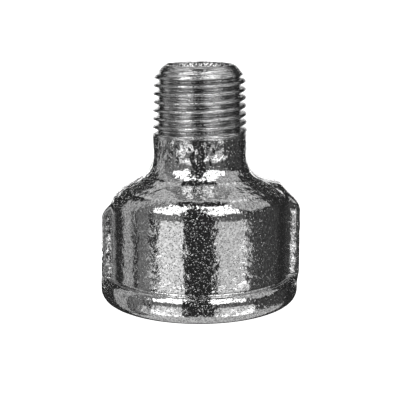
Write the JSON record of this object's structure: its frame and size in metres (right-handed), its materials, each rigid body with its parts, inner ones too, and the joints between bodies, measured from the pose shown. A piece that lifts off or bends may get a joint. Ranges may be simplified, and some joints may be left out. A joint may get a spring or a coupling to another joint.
{
  "type": "concentric reducer",
  "caption": "One-piece screwed concentric reducer: ribbed socket with a female parallel pipe thread, sloping shoulder, round neck and a male taper pipe thread on the same axis.",
  "frame": {"origin": "centre of the socket's mouth, on the plane of its end face, which is also the plane it stands on", "axes": "+Z along the pipe axis from the female mouth to the male end; the two grip ribs lie on +X and -X"},
  "size_m": [0.045, 0.0446, 0.0529],
  "materials": {
    "galvanised_iron": "hot-dip galvanised cast skin, neutral grey and glossy with a fine hammered texture; threads machined and coated"
  },
  "bodies": {
    "root": {"reducer_casting": "galvanised_iron"}
  },
  "joints": []
}
